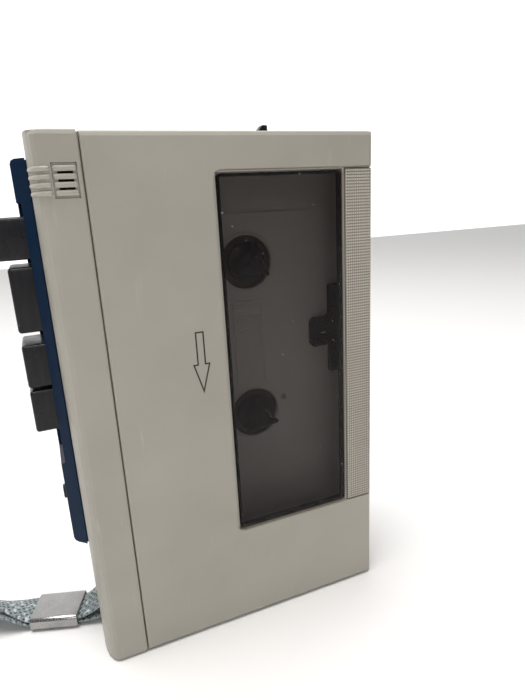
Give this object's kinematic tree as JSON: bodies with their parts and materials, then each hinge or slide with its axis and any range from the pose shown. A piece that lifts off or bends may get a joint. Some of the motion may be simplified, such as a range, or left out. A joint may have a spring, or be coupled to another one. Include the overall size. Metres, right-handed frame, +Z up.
{
  "type": "cassette dictation machine",
  "caption": "Handheld cassette dictation recorder with a side-hinged windowed door, push keys on one side, a working drive train and a wrist strap.",
  "frame": {"origin": "centre of the underside of the machine's bounding box without the strap, where it stands", "axes": "+Z up along the machine's height, -Y out of the front face with the door, +X towards the machine's right side, away from the keys"},
  "size_m": [0.2039, 0.0697, 0.1331],
  "materials": {
    "beige": "fine satin",
    "navy": "satin",
    "black": "satin",
    "deck": "satin",
    "smoked": "clear smoked, polished",
    "steel": "brushed",
    "brass": "turned",
    "rubber": "ground",
    "board": "resist-coated board",
    "braid": "flat braid"
  },
  "bodies": {
    "casing": {"rear_cabinet": "beige", "front_strip": "beige", "mic_grille": "beige", "microphone": "black", "back_screw_1": "steel", "back_screw_2": "steel", "back_screw_3": "steel", "back_screw_4": "steel", "battery_tray": "black", "battery_contact_left": "steel", "battery_contact_right": "steel", "door_hinge_rod": "steel", "door_catch": "steel", "deck_plate": "deck", "cassette_guide": "black", "chassis": "steel", "capstan_bearing": "brass", "drive_belt": "rubber", "motor": "steel", "side_panel": "navy", "key_frame": "steel", "slide_switch_body": "black", "top_switch_body": "black", "volume_pot": "black", "jack_plate": "beige", "jack_sockets": "black", "circuit_board": "board", "loudspeaker": "black", "strap_bar": "steel", "wrist_strap": "braid", "strap_sleeve": "steel"},
    "door": {"door": "beige", "window_pane": "smoked", "grip_strip": "beige", "cassette_spring": "steel"},
    "record_key": {"record_key": "black", "record_key_bar": "steel"},
    "play_key": {"play_key": "black", "play_key_bar": "steel"},
    "rewind_key": {"rewind_key": "black", "rewind_key_bar": "steel"},
    "forward_key": {"forward_key": "black", "forward_key_bar": "steel"},
    "head_carriage": {"head_plate": "steel", "record_play_head": "steel", "erase_head": "black"},
    "pinch_roller": {"pinch_roller": "rubber"},
    "capstan": {"capstan_shaft": "steel", "flywheel": "brass", "drive_wheel": "rubber"},
    "takeup_reel": {"takeup_spindle": "black", "takeup_reel_table": "black"},
    "supply_reel": {"supply_spindle": "black", "supply_reel_table": "black"},
    "idler": {"takeup_idler": "rubber"},
    "motor_rotor": {"motor_pulley": "brass"},
    "volume_wheel": {"volume_wheel": "black"},
    "slide_switch": {"slide_switch_knob": "black"},
    "top_switch": {"top_switch_knob": "black"},
    "battery_cover": {"battery_cover": "beige"}
  },
  "joints": [
    {"name": "door_hinge", "type": "hinge", "parent": "casing", "child": "door", "pos_m": [-0.02395, -0.01465, 0.065], "axis": [0, 0, -1], "range_deg": [0, 80]},
    {"name": "record_key_push", "type": "slide", "parent": "casing", "child": "record_key", "axis": [1, 0, 0], "range_m": [0, 0.003], "stiffness_N_per_m": 300},
    {"name": "play_key_push", "type": "slide", "parent": "casing", "child": "play_key", "axis": [1, 0, 0], "range_m": [0, 0.003], "stiffness_N_per_m": 300},
    {"name": "rewind_key_push", "type": "slide", "parent": "casing", "child": "rewind_key", "axis": [1, 0, 0], "range_m": [0, 0.003], "stiffness_N_per_m": 300},
    {"name": "forward_key_push", "type": "slide", "parent": "casing", "child": "forward_key", "axis": [1, 0, 0], "range_m": [0, 0.003], "stiffness_N_per_m": 300},
    {"name": "head_slide", "type": "slide", "parent": "casing", "child": "head_carriage", "axis": [1, 0, 0], "range_m": [0, 0.003]},
    {"name": "pinch_spin", "type": "hinge", "parent": "head_carriage", "child": "pinch_roller", "pos_m": [-0.02275, 0, 0.0509], "axis": [0, 1, 0], "continuous": true},
    {"name": "capstan_spin", "type": "hinge", "parent": "casing", "child": "capstan", "pos_m": [-0.01345, 0, 0.0509], "axis": [0, 1, 0], "continuous": true},
    {"name": "takeup_spin", "type": "hinge", "parent": "casing", "child": "takeup_reel", "pos_m": [0.01355, 0, 0.0564], "axis": [0, 1, 0], "continuous": true},
    {"name": "idler_spin", "type": "hinge", "parent": "casing", "child": "idler", "pos_m": [-0.00289, 0, 0.05305], "axis": [0, 1, 0], "continuous": true},
    {"name": "motor_spin", "type": "hinge", "parent": "casing", "child": "motor_rotor", "pos_m": [0.03195, 0, 0.0462], "axis": [0, 1, 0], "continuous": true},
    {"name": "supply_spin", "type": "hinge", "parent": "casing", "child": "supply_reel", "pos_m": [0.01355, 0, 0.0989], "axis": [0, 1, 0], "continuous": true},
    {"name": "volume_turn", "type": "hinge", "parent": "casing", "child": "volume_wheel", "pos_m": [0.03725, 0.0109, 0.104], "axis": [0, 1, 0], "range_deg": [-135, 135]},
    {"name": "switch_slide", "type": "slide", "parent": "casing", "child": "slide_switch", "axis": [0, 0, 1], "range_m": [-0.0015, 0.0015]},
    {"name": "top_switch_slide", "type": "slide", "parent": "casing", "child": "top_switch", "axis": [1, 0, 0], "range_m": [-0.002, 0.002]},
    {"name": "battery_cover_slide", "type": "slide", "parent": "casing", "child": "battery_cover", "axis": [1, 0, 0], "range_m": [0, 0.053]}
  ],
  "couplings": [
    {"joint": "head_slide", "follows": "play_key_push", "ratio": 1},
    {"joint": "takeup_spin", "follows": "capstan_spin", "ratio": 0.4089},
    {"joint": "idler_spin", "follows": "capstan_spin", "ratio": -0.6262},
    {"joint": "motor_spin", "follows": "capstan_spin", "ratio": 5.1935}
  ]
}
